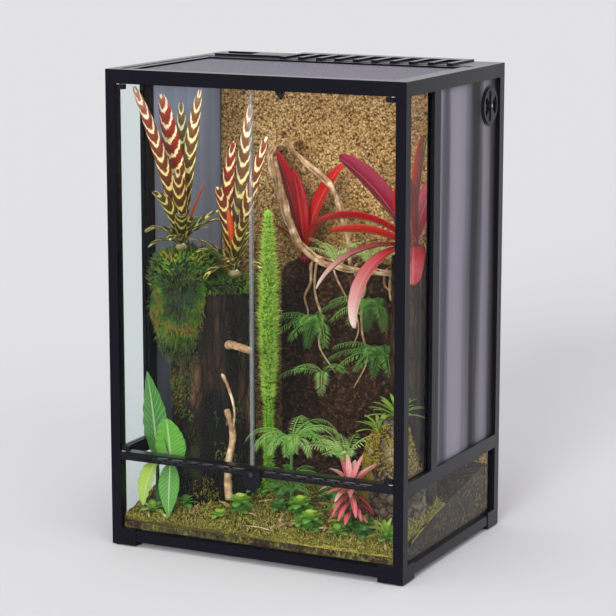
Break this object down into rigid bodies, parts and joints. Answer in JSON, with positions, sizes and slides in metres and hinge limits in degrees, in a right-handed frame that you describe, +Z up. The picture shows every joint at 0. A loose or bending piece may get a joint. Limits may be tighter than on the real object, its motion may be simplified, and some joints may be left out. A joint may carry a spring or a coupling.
{
  "type": "reptile terrarium",
  "caption": "Tall planted glass terrarium with two front doors over a vent rail, a lift-off screen top, a cable inlet, a hose port and living decor inside.",
  "frame": {"origin": "on the floor under the pads, midway between the outer faces of the four corner posts", "axes": "+X to the right, +Y to the back, +Z up"},
  "size_m": [0.6, 0.4588, 0.9],
  "materials": {
    "frame": "satin black coat",
    "corner_plastic": "moulded, matt",
    "trim_plastic": "moulded, slight sheen",
    "clear_seal": "translucent strip",
    "rubber": "matt",
    "glass": "clear",
    "side_panel": "grey, glossy",
    "steel": "drawn",
    "steel_mesh": "woven",
    "background": "pressed granules",
    "soil": "crumbly fibre",
    "moss": "tufted",
    "cork": "rough bark",
    "stone": "rough",
    "vine": "dry bark",
    "striped_leaf": "banded leaf",
    "red_leaf": "waxy leaf",
    "pink_leaf": "waxy leaf",
    "fern_leaf": "leaf",
    "bright_leaf": "leaf"
  },
  "bodies": {
    "case": {"base_bars": "frame", "corner_feet": "corner_plastic", "foot_pads": "rubber", "front_left_post": "frame", "front_right_post": "frame", "rear_left_post": "frame", "rear_right_post": "frame", "top_bars": "frame", "top_corners": "corner_plastic", "bottom_pane": "glass", "front_vent_rail": "trim_plastic", "front_vent_mesh": "steel_mesh", "left_side_rail": "frame", "right_side_rail": "frame", "left_mullion": "frame", "right_mullion": "frame", "left_window": "glass", "right_window": "glass", "left_side_panel": "side_panel", "right_side_panel": "side_panel", "left_lower_pane": "glass", "right_lower_pane": "glass", "rear_glass": "glass", "front_lower_glass": "glass", "hinge_bushes": "corner_plastic", "door_catch": "trim_plastic", "latch_washer": "rubber", "latch_pin": "steel", "cable_strip": "trim_plastic", "port_collar": "trim_plastic", "port_rivet": "steel", "background_panel": "background", "substrate": "soil", "moss_carpet": "moss", "cork_trunk": "cork", "trunk_moss": "moss", "cork_stump": "cork", "bark_bank": "cork", "rocks": "stone", "vine_roots": "vine", "striped_bromeliads": "striped_leaf", "red_bromeliad": "red_leaf", "vee_bromeliad": "red_leaf", "star_bromeliad": "pink_leaf", "club_moss": "bright_leaf", "fern_fronds": "fern_leaf", "broad_leaf_plant": "bright_leaf", "rosette_plants": "bright_leaf"},
    "left_door": {"left_door_glass": "glass", "left_hinge_shoes": "trim_plastic", "left_hinge_pins": "steel", "door_seal": "clear_seal"},
    "right_door": {"right_door_glass": "glass", "right_hinge_shoes": "trim_plastic", "right_hinge_pins": "steel"},
    "latch": {"latch_paddle": "trim_plastic"},
    "screen_lid": {"screen_frame": "frame", "screen_mesh": "steel_mesh"},
    "cable_slider": {"cable_shutter": "trim_plastic"},
    "port_disc": {"port_shutter": "trim_plastic"}
  },
  "joints": [
    {"name": "left_door_hinge", "type": "hinge", "parent": "case", "child": "left_door", "pos_m": [-0.274, -0.2205, 0.5], "axis": [0, 0, -1], "range_deg": [0, 105]},
    {"name": "right_door_hinge", "type": "hinge", "parent": "case", "child": "right_door", "pos_m": [0.274, -0.2205, 0.5], "axis": [0, 0, 1], "range_deg": [0, 105]},
    {"name": "latch_turn", "type": "hinge", "parent": "case", "child": "latch", "pos_m": [0, -0.229, 0.172], "axis": [0, -1, 0], "range_deg": [0, 180]},
    {"name": "screen_lift", "type": "slide", "parent": "case", "child": "screen_lid", "axis": [0, 0, 1], "range_m": [0, 0.08]},
    {"name": "cable_shutter_slide", "type": "slide", "parent": "case", "child": "cable_slider", "axis": [1, 0, 0], "range_m": [-0.07, 0]},
    {"name": "port_shutter_turn", "type": "hinge", "parent": "case", "child": "port_disc", "pos_m": [0.296, 0.166, 0.82], "axis": [1, 0, 0], "range_deg": [0, 90]}
  ]
}
